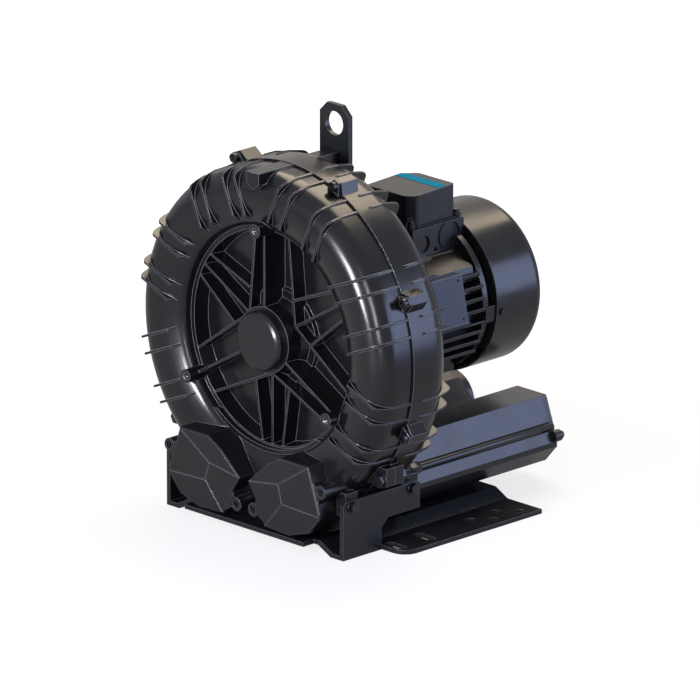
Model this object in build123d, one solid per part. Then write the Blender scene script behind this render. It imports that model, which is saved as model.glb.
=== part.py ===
from build123d import *
from math import cos, sin, radians, sqrt
import os

# Side channel blower. Units are millimetres.
# X points right as seen from the front, Y points back along the shaft towards the motor, Z points up.
# The origin is on the floor, in the middle of the four foot slots. The shaft lies above it, along Y.

os.makedirs("parts", exist_ok=True)

# ------------------------------------------------------------------ driving dimensions: shaft and ring
SHAFT_Z = 213.0            # shaft height above the floor
PARTING_Y = -38.0          # plane where front cover and rear housing meet
IMPELLER_Y = -30.0         # middle plane of the impeller and its channels
RING_R = 188.5             # outside radius of the ring on the front cover
REAR_RING_R = 191.0        # the rear housing stands a little proud of the cover
FRONT_CREST_Y = -83.5      # foremost line of the ring
REAR_CREST_Y = 26.0        # rearmost line of the ring
CORNER_R = 26.0            # rounding from the ring's outside to its front crest
REAR_CORNER_R = 34.0       # and to its rear crest
RIM_R = 124.0              # inner rim of the ring, outer edge of its ledge
RIM_LEDGE_R = 119.0        # inner edge of the ledge
RIM_LEDGE_Y = -62.5
WEB_R = 117.0              # web disc inside the ring
WEB_FRONT_Y = -43.5
WEB_BACK_Y = PARTING_Y
REAR_WEB_INNER_Y = -21.5
REAR_WEB_OUTER_Y = -12.0
CHANNEL_OUT_R = 181.0      # side channel
CHANNEL_IN_R = 129.0
BLADE_ROOM_IN_R = 120.0
BLADE_ROOM_HALF = 13.0     # half the width of the room that the blades run in
CHANNEL_WALL = 5.0
STRIPPER_HALF = 20.0       # half the width of the bridge between inlet and outlet

# ------------------------------------------------------------------ ribs, bolts and bosses of the ring
CLUSTER_ANGLES = [-22.5, 22.5, 67.5, 112.5, 157.5, 202.5]
RIB_OFFSETS = [-36.7, -18.2, 18.2, 36.7]
RIB_T = 2.6
BOLT_CIRCLE_R = 196.0
SHOULDER_BOLT = (155.0, 86.5)      # X and height of the two lower parting bolts
BOLT_R = 4.0
COVER_LUG_T = 3.5
HOUSING_LUG_T = 23.0
BOSS_CIRCLE_R = 124.0
BOSS_R = 7.5
BOSS_HOLE_R = 4.25                 # core of an M10 thread
BOSS_FRONT_Y = -87.5
WEB_RIB_T = 2.6
NODE_R = 44.0                      # where the web ribs meet near the hub
WEB_RIB_FRONT_Y = -61.5
SPINE_FRONT_Y = -73.5              # front edge of the three ribs that carry the tube bosses
HUB_R = 37.0
RAIL_HALF = 9.2                    # rail on top of the ring, towards the lifting eye
RAIL_TOP = 190.0
RAIL_FRONT_Y = -90.0

# ------------------------------------------------------------------ port block, caps and silencers
BLOCK_FRONT_Y = -70.0
BLOCK_BACK_Y = 30.0
PORT_X = 60.0
PORT_Z = 57.0
PORT_R = 27.0
CAP_FRONT_Y = -105.2
CAP_OUTLINE = [(55, 100.4), (98.3, 100.3), (115.6, 51.0), (115.6, 45.0), (98.3, 25.5), (69, 16.2), (31.6, 18.2),
               (17.5, 46.6), (6.4, 63.9), (35.1, 89.4)]
CAP_CENTRE = (60.0, 57.0)
CAP_SCREWS = [(12.9, 32.4), (115.8, 75.6)]
CAP_EAR_CORNERS = [((19, 48), (34, 20)), ((101, 86), (111, 57))]
CAP_EAR_R = 7.5
CAP_EAR_FRONT_Y = -103.5
GASKET_T = 1.5
SILENCER_BACK_Y = 250.0
SILENCER_WALL = 3.0
TUBE_R = 24.0
TIE_ROD = (112.0, 68.5)            # X and height of the right tie rod
TIE_ROD_R = 4.5
THREAD_R = 22.4                    # core radius of a 1 1/2 inch pipe thread
END_CAP_T = 14.0
END_CAP_EAR = (114.5, 57.0)

# ------------------------------------------------------------------ base frame
SHEET = 5.0
FLANGE_X = 170.6
WALL_X = 135.5
PANEL_TOP = 14.5
BASE_BACK_Y = 176.9
WALL_FRONT_Y = -88.7
FLANGE_FRONT_Y = -31.1
TONGUE_FRONT_Y = -104.9
TONGUE_X = 91.0
SLOT_X, SLOT_Y, SLOT_LENGTH, SLOT_R = 148.0, 21.5, 28.0, 5.5
INNER_HOLES = (142.5, 96.5, 136.5)   # X and the two Y values
OUTER_HOLES = (158.5, 115.5, 155.5)
FOOT_HOLE_R = 5.5
BASE_SCREWS_Y = (-74.0, 16.0)
BASE_SCREW_Z = 57.5

# ------------------------------------------------------------------ shaft line
BEARING_OUT_R, BEARING_IN_R, BEARING_W = 26.0, 12.5, 15.0
BEARING_PITCH_R = 19.25
BALL_R = 3.9
BALL_COUNT = 8
FRONT_BEARING_Y = -70.0            # front faces of the two bearings
REAR_BEARING_Y = 184.0
SEAT_R = 14.0                      # impeller seat
ROTOR_SEAT_R = 18.0
FAN_SEAT_R = 10.0
SHAFT_FRONT_Y, SHAFT_BACK_Y = -74.0, 236.0
BLADE_COUNT = 42
BLADE_TIP_R = 178.0
BLADE_ROOT_R = 126.0
BLADE_HALF_W = 12.0

# ------------------------------------------------------------------ motor
FRAME_R, STATOR_R, ROTOR_R, AIR_GAP = 71.0, 66.0, 42.0, 0.6
FRAME_FRONT_Y, FRAME_BACK_Y = 6.0, 174.0
CORE_Y = (52.0, 142.0)
FIN_R, FIN_PITCH, FIN_T = 88.0, 12.6, 3.6
COWL_R, COWL_T = 90.5, 2.0
COWL_Y = (188.5, 262.0)
COWL_EDGE_R = 13.0                 # rounding at the rear of the fan cowl
LUG_ANGLES = (-5.0, 185.0, 270.0)    # the terminal box takes the place of a fourth lug
COWL_SCREW_Y = 197.0
PLATE_ANGLE = 11.8                 # the rating plate's pad faces a little upward
PLATE_DISTANCE = 87.6

# ------------------------------------------------------------------ terminal box
BOX_X = 40.0
BOX_Y = (110.0, 187.5)
BOX_Z = (56.5, 90.5)               # heights above the shaft
BOX_FLOOR = 75.0
BOX_WALL = 3.5
LID_X = 34.5
LID_Y = (112.5, 179.0)
LID_TOP = 126.7
LID_CUT, LID_BACK_CUT = 10.6, 14.5     # cut corners at front right and back left
KNOCKOUT_R = 14.6
KNOCKOUT_Y, KNOCKOUT_Z = 166.0, 74.6

# ------------------------------------------------------------------ lifting eye
EYE_Y = (31.5, 37.0)
EYE_HALF, EYE_TOP, EYE_BOTTOM, EYE_CUT = 22.2, 241.0, 158.0, 11.0
EYE_HOLE_R, EYE_HOLE_Z = 13.25, 219.5


# ------------------------------------------------------------------ helpers
def at_shaft(shape):
    """Shapes of the shaft line are drawn round the Y axis, then lifted to the shaft's height."""
    return Pos(0, 0, SHAFT_Z) * shape


def turned(shape, angle):
    """Turn a shape about the Y axis, counter-clockwise as seen from the front."""
    return Rot(0, -angle, 0) * shape


def outline(points):
    return make_face(Polyline(*points, close=True))


def spun(points):
    """Solid of revolution about the Y axis from (radius, y) points."""
    return revolve(outline(points), Axis.Y, 360)


def tube(r_out, r_in, y0, y1):
    return spun([(r_in, y0), (r_out, y0), (r_out, y1), (r_in, y1)])


def rod(r, y0, y1, x=0.0, z=0.0):
    return Pos(x, (y0 + y1) / 2, z) * Rot(90, 0, 0) * Cylinder(r, y1 - y0)


def cross_rod(r, x0, x1, y, z):
    return Pos((x0 + x1) / 2, y, z) * Rot(0, 90, 0) * Cylinder(r, x1 - x0)


def block(x0, x1, y0, y1, z0, z1):
    return Pos((x0 + x1) / 2, (y0 + y1) / 2, (z0 + z1) / 2) * Box(x1 - x0, y1 - y0, z1 - z0)


def slab(face, y0, y1):
    """Extrude an outline drawn in X and Z from depth y0 to depth y1."""
    return extrude(Plane.XZ.offset(-y1) * face, y1 - y0)


def plate(points, thickness, offset=0.0):
    """Flat plate from (x, y) points, centred on the height given by offset."""
    return Pos(0, 0, offset - thickness / 2) * extrude(outline(points), thickness)


def mirrored(points):
    return [(-x, z) for x, z in reversed(points)]


def hex_rod(across_flats, y0, y1, x=0.0, z=0.0):
    return Pos(x, 0, z) * slab(RegularPolygon(across_flats / 2, 6, major_radius=False), y0, y1)


def both_sides(shape):
    return [shape, mirror(shape, Plane.YZ)]


def save(shape, node):
    """Write one node. A list is kept as separate solids."""
    if isinstance(shape, (list, tuple)):
        shape = Compound(children=[s for item in shape for s in item.solids()])
    export_step(shape, f"parts/{node}.step")


# ------------------------------------------------------------------ ring casting
def profile(*edges):
    return make_face(Curve() + list(edges))


def quarter(centre, rx, ry, a0, a1):
    """Quarter of an ellipse, from angle a0 to a1, as one edge."""
    start = (centre[0] + rx * cos(radians(a0)), centre[1] + ry * sin(radians(a0)))
    end = (centre[0] + rx * cos(radians(a1)), centre[1] + ry * sin(radians(a1)))
    mid_angle = radians((a0 + a1) / 2)
    middle = (centre[0] + rx * cos(mid_angle), centre[1] + ry * sin(mid_angle))
    return start, end, Spline(start, middle, end, tangents=quarter_tangents(a0, a1))


def quarter_tangents(a0, a1):
    sign = 1 if a1 > a0 else -1
    return [(-sign * sin(radians(a)), sign * cos(radians(a))) for a in (a0, a1)]


def ring_half(outer_r, crest_y, rim_y, side, corner_r, base_y):
    """Half of the hollow ring's outside: rim, rounded corner, crest and the slope to the inner rim."""
    crest_r = outer_r - corner_r
    corner_y = crest_y - side * corner_r
    a, b, corner = quarter((crest_r, corner_y), corner_r, corner_r, 0, side * 90)
    slope_angles = (side * 90, 180 if side > 0 else -180)
    c, d, slope = quarter((crest_r, rim_y), crest_r - RIM_R, abs(crest_y - rim_y), *slope_angles)
    edges = [Line((outer_r, base_y), a), corner, slope, Line(d, (CHANNEL_IN_R - 9, rim_y)),
             Line((CHANNEL_IN_R - 9, rim_y), (CHANNEL_IN_R - 9, base_y)),
             Line((CHANNEL_IN_R - 9, base_y), (outer_r, base_y))]
    return revolve(profile(*edges), Axis.Y, 360)


def channel_half(crest_y, side):
    """One side channel: a D-shaped groove next to the blades."""
    floor_y = IMPELLER_Y + side * BLADE_ROOM_HALF
    mid_r = (CHANNEL_OUT_R + CHANNEL_IN_R) / 2
    half_w = (CHANNEL_OUT_R - CHANNEL_IN_R) / 2
    straight_y = crest_y - side * (CHANNEL_WALL + half_w)
    right = (CHANNEL_OUT_R, straight_y)
    left = (CHANNEL_IN_R, straight_y)
    top = (mid_r, straight_y + side * half_w)
    edges = [Line((CHANNEL_OUT_R, floor_y), right), ThreePointArc(right, top, left),
             Line(left, (CHANNEL_IN_R, floor_y)), Line((CHANNEL_IN_R, floor_y), (CHANNEL_OUT_R, floor_y))]
    groove = revolve(profile(*edges), Axis.Y, 360)
    bridge = block(-STRIPPER_HALF, STRIPPER_HALF, -200, 200, -RING_R, -CHANNEL_IN_R + 15)
    return groove - bridge


def impeller_room(side):
    """Room for blades and disc on one side of the parting plane."""
    blades_y = IMPELLER_Y + side * BLADE_ROOM_HALF
    outer = [(BLADE_ROOM_IN_R, PARTING_Y), (CHANNEL_OUT_R, PARTING_Y), (CHANNEL_OUT_R, blades_y),
             (BLADE_ROOM_IN_R, blades_y)]
    if side < 0:
        return spun(outer)
    return spun([(0, PARTING_Y)] + outer[1:] + [(BLADE_ROOM_IN_R, REAR_WEB_INNER_Y), (0, REAR_WEB_INNER_Y)])


def front_rib():
    """Cooling rib that starts flush with the rear housing and ends on the front of the ring."""
    return plate([(150, PARTING_Y), (190.5, PARTING_Y), (190.0, -60), (187, -74), (184, -82), (180, -85.5),
                  (137, -85.5), (124.5, -66), (124.5, -50)], RIB_T)


def rear_rib():
    return plate([(150, -25), (190, -25), (192.5, -18), (192.2, -2), (188, 18), (186, 23.5), (182, 26.5),
                  (150, 27.5), (124.5, 10)], RIB_T)


def rib_clusters(rib):
    """Ribs of a cluster stand side by side and are let in so that they all follow the ring."""
    ribs = []
    for offset in RIB_OFFSETS:
        inward = sqrt(RING_R ** 2 - offset ** 2) - RING_R
        ribs += [turned(Pos(inward, 0, offset) * rib, angle) for angle in CLUSTER_ANGLES]
    return ribs


def lug(top_half, base_half, y0, y1):
    """Tapered lug round one parting bolt, at angle 0."""
    tip_r = BOLT_CIRCLE_R + 6
    half = [(RING_R - 4, base_half), (RING_R, base_half), (tip_r, top_half)]
    return slab(outline(half + [(x, -z) for x, z in reversed(half)]), y0, y1)


def cover_lug():
    return lug(4.0, 9.0, PARTING_Y - COVER_LUG_T, PARTING_Y)


def housing_lug():
    return lug(4.8, 12.8, PARTING_Y, PARTING_Y + HOUSING_LUG_T)


def bolt_holes():
    return [turned(rod(BOLT_R + 0.4, -60, PARTING_Y + 12.5, BOLT_CIRCLE_R, 0), a) for a in CLUSTER_ANGLES]


def shoulder_lug(y0, y1):
    x, z = SHOULDER_BOLT
    lug = block(x - 32, x + 8, y0, y1, z - 6, z + 14)
    return both_sides(lug - rod(BOLT_R + 0.4, y0 - 1, y1 + 1, x, z))


def block_outline():
    """Outline of the port block under the ring, in X and Z above the floor."""
    half = [(0, 20), (98, 20), (112, 27), (120, 48), (118, 78), (128, 96), (124, 118)]
    return outline(half + [(-x, z) for x, z in reversed(half[1:])])


def port_block(y0, y1, lug_y):
    """Half of the block that joins both ports, with a lug for a base screw on either side."""
    body = slab(block_outline(), y0, y1) - at_shaft(rod(RIM_LEDGE_R + 2, y0 - 1, y1 + 1))
    wall_inner = WALL_X - SHEET
    body += both_sides(block(117, wall_inner, max(lug_y - 12, y0 - 10), min(lug_y + 12, y1 - 2), 46, 72))
    body -= both_sides(cross_rod(3.3, 117, wall_inner + 1, lug_y, BASE_SCREW_Z))
    return body


def port_bores(y0, y1):
    return [rod(PORT_R, y0 - 1, y1 + 1, side * PORT_X, PORT_Z) for side in (-1, 1)]


def polar(radius, angle):
    return radius * cos(radians(angle)), radius * sin(radians(angle))


def web_rib(start, end, front_y, back_y):
    """Thin upright rib on the web between two (x, z) points."""
    (x0, z0), (x1, z1) = start, end
    length = sqrt((x1 - x0) ** 2 + (z1 - z0) ** 2)
    direction = Plane(origin=((x0 + x1) / 2, 0, (z0 + z1) / 2), x_dir=(x1 - x0, 0, z1 - z0), z_dir=(0, 1, 0))
    return direction * Pos(0, 0, (front_y + back_y) / 2) * Box(length, WEB_RIB_T, back_y - front_y)


def web_ribs():
    """The pattern repeats three times: a star of ribs between each pair of tube bosses."""
    ribs = []
    for middle in (30, 150, 270):
        node = polar(NODE_R - 4, middle)
        rim_r = RIM_LEDGE_R + 2
        ribs.append(web_rib(node, polar(rim_r, middle), WEB_RIB_FRONT_Y, WEB_BACK_Y - 2))
        for side in (-1, 1):
            ribs.append(web_rib(node, polar(rim_r, middle + side * 48), WEB_RIB_FRONT_Y, WEB_BACK_Y - 2))
            inner = polar(57.4, middle + side * 26.6)
            ribs.append(web_rib(inner, polar(rim_r, middle + side * 7.2), WEB_RIB_FRONT_Y, WEB_BACK_Y - 2))
        boss = polar(BOSS_CIRCLE_R - 5, middle + 60)
        ribs.append(web_rib(polar(HUB_R - 4, middle + 60), boss, SPINE_FRONT_Y, WEB_BACK_Y - 2))
    return ribs


def tube_bosses():
    return [rod(BOSS_R, BOSS_FRONT_Y, WEB_BACK_Y - 3, *polar(BOSS_CIRCLE_R, a)) for a in (90, 210, 330)]


def front_rail():
    """Rail on top of the cover with a pointed tongue in front and a shallow groove along it."""
    tongue = outline([(-RAIL_HALF, RAIL_TOP), (-RAIL_HALF, RAIL_TOP - 12.5), (0, RAIL_TOP - 19.5),
                      (RAIL_HALF, RAIL_TOP - 12.5), (RAIL_HALF, RAIL_TOP)])
    groove = block(-0.6, 0.6, RAIL_FRONT_Y - 1, PARTING_Y + 1, RAIL_TOP - 0.8, 200)
    return slab(tongue, RAIL_FRONT_Y, PARTING_Y) - groove


def front_cover():
    ring = ring_half(RING_R, FRONT_CREST_Y, RIM_LEDGE_Y, -1, CORNER_R, PARTING_Y)
    web = spun([(CHANNEL_IN_R, PARTING_Y), (CHANNEL_IN_R, RIM_LEDGE_Y), (RIM_LEDGE_R, RIM_LEDGE_Y),
                (WEB_R, WEB_FRONT_Y), (NODE_R + 10, WEB_FRONT_Y), (NODE_R + 8, WEB_FRONT_Y - 4),
                (NODE_R - 1, WEB_FRONT_Y - 4), (HUB_R + 1, WEB_FRONT_Y - 12), (HUB_R, SPINE_FRONT_Y),
                (0, SPINE_FRONT_Y), (0, PARTING_Y)])
    body = ring + web
    body += tube_bosses()
    body += web_ribs()
    body += rib_clusters(front_rib())
    body += [turned(cover_lug(), a) for a in CLUSTER_ANGLES]
    body += front_rail()
    body -= impeller_room(-1)
    body -= bolt_holes()
    for angle in (90, 210, 330):
        body -= rod(BOSS_HOLE_R, BOSS_FRONT_Y - 1, BOSS_FRONT_Y + 25, *polar(BOSS_CIRCLE_R, angle))
    body -= spun([(0, SPINE_FRONT_Y - 1), (30.5, SPINE_FRONT_Y - 1), (30.5, FRONT_BEARING_Y),
                  (BEARING_OUT_R, FRONT_BEARING_Y), (BEARING_OUT_R, FRONT_BEARING_Y + BEARING_W), (20, -55),
                  (20, -44), (16, -44), (16, PARTING_Y), (0, PARTING_Y)])
    body = at_shaft(body)
    body += port_block(BLOCK_FRONT_Y, PARTING_Y, BASE_SCREWS_Y[0])
    body += shoulder_lug(PARTING_Y - 13, PARTING_Y)
    body -= at_shaft(impeller_room(-1))
    body -= at_shaft(channel_half(FRONT_CREST_Y, -1)) - block(-140, 140, -120, BLOCK_FRONT_Y + 5, 0, 106)
    body -= port_bores(BLOCK_FRONT_Y, PARTING_Y)
    body -= cap_seats()
    return body


def cap_seats():
    """Flat seats for the two front caps, with their screw holes."""
    seat = slab(offset(outline(CAP_OUTLINE), 0.8, kind=Kind.INTERSECTION), FRONT_CREST_Y - 5, BLOCK_FRONT_Y)
    holes = [rod(3.3, BLOCK_FRONT_Y - 1, BLOCK_FRONT_Y + 14, x, z) for x, z in CAP_SCREWS]
    return both_sides(seat + holes + cap_ears(FRONT_CREST_Y - 5, BLOCK_FRONT_Y, 0.8))


def rear_housing():
    rear_rim_y = 2.0
    ring = ring_half(REAR_RING_R, REAR_CREST_Y, rear_rim_y, 1, REAR_CORNER_R, PARTING_Y)
    web = spun([(CHANNEL_IN_R, PARTING_Y), (CHANNEL_IN_R, rear_rim_y), (RIM_LEDGE_R, rear_rim_y),
                (RIM_LEDGE_R - 2, REAR_WEB_OUTER_Y), (0, REAR_WEB_OUTER_Y), (0, PARTING_Y)])
    body = ring + web
    body += rib_clusters(rear_rib())
    body += [turned(housing_lug(), a) for a in CLUSTER_ANGLES]
    body += block(-RAIL_HALF, RAIL_HALF, PARTING_Y + 14, EYE_Y[0], 160, RAIL_TOP)
    body -= impeller_room(1)
    body -= bolt_holes()
    body -= [rod(3.3, 10, EYE_Y[0] + 1, 0, z) for z in (168, 183)]
    body -= rod(22, PARTING_Y, 0)
    body -= [rod(3.3, REAR_WEB_OUTER_Y - 7, 0, *polar(92, a)) for a in (45, 135, 225, 315)]
    body = at_shaft(body)
    body += port_block(PARTING_Y, BLOCK_BACK_Y, BASE_SCREWS_Y[1])
    body += shoulder_lug(PARTING_Y, PARTING_Y + 12)
    body -= at_shaft(impeller_room(1))
    body -= at_shaft(channel_half(REAR_CREST_Y, 1))
    body -= port_bores(PARTING_Y, BLOCK_BACK_Y)
    return body


def cover_bolts():
    """Socket-head bolts round the ring, and two hexagon bolts with nuts low down."""
    seat_y = PARTING_Y - COVER_LUG_T
    bolt = rod(5.2, seat_y - 5.5, seat_y, BOLT_CIRCLE_R) - hex_rod(4.6, seat_y - 7, seat_y - 2.5, BOLT_CIRCLE_R)
    bolt += rod(BOLT_R, seat_y - 1, PARTING_Y + 12, BOLT_CIRCLE_R)
    bolts = [at_shaft(turned(bolt, a)) for a in CLUSTER_ANGLES]
    x, z = SHOULDER_BOLT
    lower = hex_rod(13, PARTING_Y - 19, PARTING_Y - 13, x, z) + rod(BOLT_R, PARTING_Y - 14, PARTING_Y + 18, x, z)
    lower += hex_rod(13, PARTING_Y + 12, PARTING_Y + 18, x, z)
    return bolts + both_sides(lower)


def hub_cap():
    """Pressed cap over the front bearing, with a rounded edge."""
    r = 33.0
    face_y = -85.1
    cap = spun([(0, face_y), (28, face_y), (31, face_y + 1.5), (r, face_y + 4.5), (r, SPINE_FRONT_Y),
                (30.3, SPINE_FRONT_Y), (30.3, FRONT_BEARING_Y - 1), (27.5, FRONT_BEARING_Y - 1),
                (27.5, face_y + 3), (0, face_y + 3)])
    return at_shaft(cap)


# ------------------------------------------------------------------ bearings and shaft line
def groove(y_mid):
    """Ball groove, a little larger than the balls."""
    return revolve(Pos(BEARING_PITCH_R, y_mid) * Circle(BALL_R + 0.15), Axis.Y, 360)


def bearing_outer(y0):
    mid = y0 + BEARING_W / 2
    return at_shaft(tube(BEARING_OUT_R, 21.4, y0, y0 + BEARING_W) - groove(mid))


def bearing_inner(y0):
    mid = y0 + BEARING_W / 2
    return at_shaft(tube(17.1, BEARING_IN_R, y0, y0 + BEARING_W) - groove(mid))


def bearing_cage(y0):
    """Balls in a ring cage; cage and balls go round together."""
    mid = y0 + BEARING_W / 2
    spots = [polar(BEARING_PITCH_R, 360 / BALL_COUNT * i) for i in range(BALL_COUNT)]
    cage = tube(20.6, 17.9, mid - 2.0, mid + 2.0) - [Pos(x, mid, z) * Sphere(BALL_R + 0.05) for x, z in spots]
    return [at_shaft(cage)] + [at_shaft(Pos(x, mid, z) * Sphere(BALL_R)) for x, z in spots]


def motor_shaft():
    end = FRONT_BEARING_Y
    rear_end = REAR_BEARING_Y + BEARING_W
    shaft = spun([(0, SHAFT_FRONT_Y), (BEARING_IN_R - 1, SHAFT_FRONT_Y), (BEARING_IN_R, SHAFT_FRONT_Y + 1),
                  (BEARING_IN_R, end + BEARING_W), (SEAT_R, end + BEARING_W), (SEAT_R, -20), (15.5, -20), (15.5, 24),
                  (ROTOR_SEAT_R, 26), (ROTOR_SEAT_R, 168), (BEARING_IN_R + 2.5, 170),
                  (BEARING_IN_R + 2.5, REAR_BEARING_Y), (BEARING_IN_R, REAR_BEARING_Y), (BEARING_IN_R, rear_end),
                  (FAN_SEAT_R, rear_end), (FAN_SEAT_R, SHAFT_BACK_Y - 1), (FAN_SEAT_R - 1, SHAFT_BACK_Y),
                  (0, SHAFT_BACK_Y)])
    shaft -= block(-4, 4, -38, -22, SEAT_R - 4, SEAT_R + 1)
    return at_shaft(shaft)


def impeller_key():
    return at_shaft(block(-3.9, 3.9, -37.8, -22.2, SEAT_R - 3.9, SEAT_R + 3.2))


def impeller():
    """Disc with two rows of chevron blades that run in the side channels."""
    disc = spun([(SEAT_R, -37.5), (28, -37.5), (30, -34.5), (BLADE_ROOT_R - 6, -34.5),
                 (BLADE_ROOT_R - 4, IMPELLER_Y - BLADE_HALF_W), (BLADE_ROOT_R + 1, IMPELLER_Y - BLADE_HALF_W),
                 (BLADE_ROOT_R + 5, IMPELLER_Y - 1.6), (BLADE_TIP_R - 4, IMPELLER_Y - 1.2),
                 (BLADE_TIP_R - 4, IMPELLER_Y + 1.2), (BLADE_ROOT_R + 5, IMPELLER_Y + 1.6),
                 (BLADE_ROOT_R + 1, IMPELLER_Y + BLADE_HALF_W), (BLADE_ROOT_R - 4, IMPELLER_Y + BLADE_HALF_W),
                 (BLADE_ROOT_R - 6, -25.5), (30, -25.5), (28, -22.5), (SEAT_R, -22.5)])
    disc -= block(-4, 4, -40, -20, SEAT_R - 1, SEAT_R + 3.4)
    sweep, half_t = 4.0, 1.1
    chevron = outline([(IMPELLER_Y - BLADE_HALF_W, sweep - half_t), (IMPELLER_Y, -half_t),
                       (IMPELLER_Y + BLADE_HALF_W, sweep - half_t), (IMPELLER_Y + BLADE_HALF_W, sweep + half_t),
                       (IMPELLER_Y, half_t), (IMPELLER_Y - BLADE_HALF_W, sweep + half_t)])
    blade = extrude(Plane(origin=(BLADE_ROOT_R, 0, 0), x_dir=(0, 1, 0), z_dir=(1, 0, 0)) * chevron,
                    BLADE_TIP_R - BLADE_ROOT_R)
    blades = [turned(blade, 360 / BLADE_COUNT * i) for i in range(BLADE_COUNT)]
    return at_shaft(disc + blades)


def shaft_seals():
    front = spun([(SEAT_R, -52), (20, -52), (20, -45), (17, -45), (17, -49), (SEAT_R, -49)])
    rear = spun([(15.5, -20), (22, -20), (22, -13), (18, -13), (18, -17), (15.5, -17)])
    return [at_shaft(front), at_shaft(rear)]


def retaining_rings():
    """Spacer before the impeller and the rings that hold the front bearing and the cooling fan."""
    front = tube(BEARING_IN_R + 3, BEARING_IN_R, FRONT_BEARING_Y - 2, FRONT_BEARING_Y)
    fan = tube(FAN_SEAT_R + 2.5, FAN_SEAT_R, 233, 234.5)
    return [at_shaft(front), at_shaft(fan)]


# ------------------------------------------------------------------ motor
def saddle():
    """Shoulders on top of the frame that carry the terminal box."""
    half = [(0, 40), (66, 30), (74, 40), (73, 46.5), (BOX_X + 3, BOX_Z[0] - 0.1),
            (0, BOX_Z[0] - 0.1)]
    full = half + [(-x, z) for x, z in reversed(half[1:-1])]
    return slab(outline(full), BOX_Y[0] - 40, FRAME_BACK_Y - 6)


def fins():
    """Level fins on both sides and upright fins below."""
    out = []
    for k in range(-4, 4):
        z = k * FIN_PITCH
        reach = sqrt(FIN_R ** 2 - z ** 2)
        bar = block(40, reach, FRAME_FRONT_Y + 30, FRAME_BACK_Y - 0.5, z - FIN_T / 2, z + FIN_T / 2)
        out += both_sides(bar)
    for k in range(-3, 4):
        x = k * FIN_PITCH
        reach = sqrt(FIN_R ** 2 - x ** 2)
        out.append(block(x - FIN_T / 2, x + FIN_T / 2, FRAME_FRONT_Y + 30, FRAME_BACK_Y - 0.5, -reach, -50))
    return out


def motor_frame():
    body = rod(FRAME_R, FRAME_FRONT_Y, FRAME_BACK_Y)
    body += fins()
    body += saddle()
    body += rod(82, FRAME_FRONT_Y, FRAME_FRONT_Y + 10)
    pad = block(60, PLATE_DISTANCE, 62, 144, -27.6, 27.6)
    pad -= block(50, 80, 50, 150, -21, 21)
    body += turned(pad, PLATE_ANGLE)
    body -= turned(block(PLATE_DISTANCE, PLATE_DISTANCE + 10, 62, 144, -27.6, 27.6), PLATE_ANGLE)
    for angle in LUG_ANGLES:
        body += turned(block(66, 85.5, 147, FRAME_BACK_Y, -9, 9), angle)
        body -= turned(block(75, 90, 151.5, FRAME_BACK_Y + 1, -5.5, 5.5), angle)
    body -= rod(STATOR_R, FRAME_FRONT_Y - 1, FRAME_BACK_Y + 1)
    return at_shaft(body)


def rating_plate():
    """Bare plate on its pad, with four rivets."""
    sheet = block(PLATE_DISTANCE, PLATE_DISTANCE + 0.8, 66, 142, -25.5, 25.5)
    corners = [(y, z) for y in (70, 138) for z in (-21, 21)]
    rivet = [cross_rod(1.6, PLATE_DISTANCE + 0.5, PLATE_DISTANCE + 1.8, y, z) for y, z in corners]
    return at_shaft(turned(sheet + rivet, PLATE_ANGLE))


def drive_end_shield():
    """Plate between the housing and the motor frame, with a spigot into the frame."""
    body = tube(104, 24, REAR_WEB_OUTER_Y, FRAME_FRONT_Y - 8) + tube(82, 24, FRAME_FRONT_Y - 9, FRAME_FRONT_Y)
    body += tube(STATOR_R - 0.1, 56, FRAME_FRONT_Y - 1, FRAME_FRONT_Y + 14)
    body -= [rod(3.4, REAR_WEB_OUTER_Y - 1, FRAME_FRONT_Y, *polar(92, a)) for a in (45, 135, 225, 315)]
    return at_shaft(body)


def drive_end_screws():
    screws = []
    for angle in (45, 135, 225, 315):
        x, z = polar(92, angle)
        screw = rod(3.2, REAR_WEB_OUTER_Y - 6, FRAME_FRONT_Y - 7, x, z)
        screws.append(at_shaft(screw + rod(5.5, FRAME_FRONT_Y - 8, FRAME_FRONT_Y - 2, x, z)))
    return screws


def rear_end_shield():
    """Bearing seat, disc with spokes and the four lugs that carry the fan cowl."""
    body = tube(84, STATOR_R - 12, FRAME_BACK_Y, FRAME_BACK_Y + 7) + tube(STATOR_R - 0.1, 56, FRAME_BACK_Y - 10, 175)
    body += tube(58, BEARING_OUT_R + 2, REAR_BEARING_Y - 4, REAR_BEARING_Y + 3)
    body += spun([(56, 174), (60, 174), (60, 187), (56, 187)])
    body += tube(34, BEARING_OUT_R, REAR_BEARING_Y - 4, REAR_BEARING_Y + BEARING_W)
    body += tube(34, 17, REAR_BEARING_Y - 8, REAR_BEARING_Y - 3.5)
    lug = block(78, COWL_R, FRAME_BACK_Y, 206, -9, 9) - block(70, 86, 184, 210, -5, 5)
    lug &= rod(COWL_R - COWL_T - 0.1, FRAME_BACK_Y, 206)
    lug -= cross_rod(2.5, 80, 95, COWL_SCREW_Y, 0)
    body += [turned(lug, angle) for angle in LUG_ANGLES]
    body -= block(-BOX_X - 3, BOX_X + 3, 170, 188.2, BOX_Z[0] - 2, 100)
    return at_shaft(body)


def preload_spring():
    return at_shaft(tube(25.6, 22.0, REAR_BEARING_Y - 3.4, REAR_BEARING_Y))


def stator_core():
    return at_shaft(tube(STATOR_R, ROTOR_R + AIR_GAP, *CORE_Y))


def stator_windings():
    front = spun([(47, 30), (60, 30), (62, 34), (62, CORE_Y[0]), (46, CORE_Y[0]), (46, 34)])
    rear = spun([(46, CORE_Y[1]), (62, CORE_Y[1]), (62, 158), (60, 162), (47, 162), (46, 158)])
    return [at_shaft(front), at_shaft(rear)]


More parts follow.
